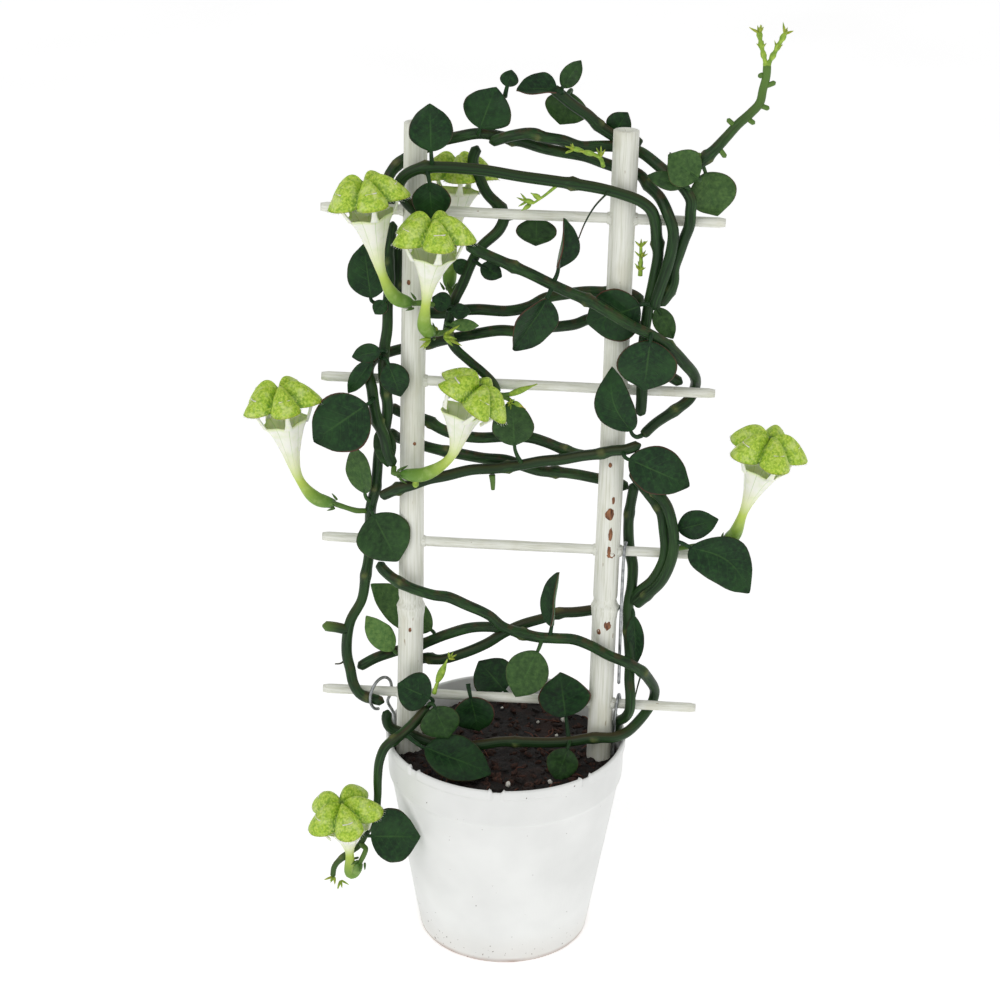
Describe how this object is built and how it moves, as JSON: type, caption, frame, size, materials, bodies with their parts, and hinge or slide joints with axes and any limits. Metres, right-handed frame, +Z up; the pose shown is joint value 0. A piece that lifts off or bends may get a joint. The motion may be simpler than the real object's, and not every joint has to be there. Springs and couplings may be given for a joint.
{
  "type": "potted plant",
  "caption": "Potted parachute plant with twining succulent stems on a white bamboo ladder trellis, with umbrella-shaped green flowers, in a white plastic nursery pot.",
  "frame": {"origin": "centre of the pot's flat underside, on the surface that it stands on", "axes": "+Z up, +X to the right along the trellis seen from the front, -Y towards the viewer at the front"},
  "size_m": [0.2631, 0.12, 0.4631],
  "materials": {
    "pot": "moulded white polypropylene, satin",
    "soil": "dark peat and bark potting soil, rough",
    "cane": "white-painted bamboo, worn satin",
    "rung": "white-painted bamboo split rod, satin",
    "wire": "galvanised wire, satin",
    "stem": "living green succulent stem, waxy",
    "leaf": "fleshy dark green leaf, waxy satin",
    "flower": "thin translucent yellow-green petal, soft satin"
  },
  "bodies": {
    "root": {"pot": "pot", "soil": "soil", "cane_left": "cane", "cane_right": "cane", "rung_1": "rung", "rung_2": "rung", "rung_3": "rung", "rung_4": "rung", "clip_left": "wire", "clip_right_low": "wire", "clip_right_high": "wire", "vine_top_front": "stem", "vine_top_back": "stem", "vine_inner": "stem", "vine_middle_front": "stem", "vine_cross_upper": "stem", "vine_cross_middle": "stem", "vine_cross_lower": "stem", "vine_cross_back": "stem", "vine_left": "stem", "vine_right": "stem", "vine_lower_front": "stem", "vine_lower_back": "stem", "trailing_shoot": "stem", "leaf_01": "leaf", "leaf_02": "leaf", "leaf_03": "leaf", "leaf_04": "leaf", "leaf_05": "leaf", "leaf_06": "leaf", "leaf_07": "leaf", "leaf_08": "leaf", "leaf_09": "leaf", "leaf_10": "leaf", "leaf_11": "leaf", "leaf_12": "leaf", "leaf_13": "leaf", "leaf_14": "leaf", "leaf_15": "leaf", "leaf_16": "leaf", "leaf_17": "leaf", "leaf_18": "leaf", "leaf_19": "leaf", "leaf_20": "leaf", "leaf_21": "leaf", "leaf_22": "leaf", "leaf_23": "leaf", "leaf_24": "leaf", "leaf_25": "leaf", "leaf_26": "leaf", "leaf_27": "leaf", "leaf_28": "leaf", "leaf_29": "leaf", "flower_1": "flower", "flower_2": "flower", "flower_3": "flower", "flower_4": "flower", "flower_5": "flower", "flower_6": "flower", "flower_7": "flower"}
  },
  "joints": []
}
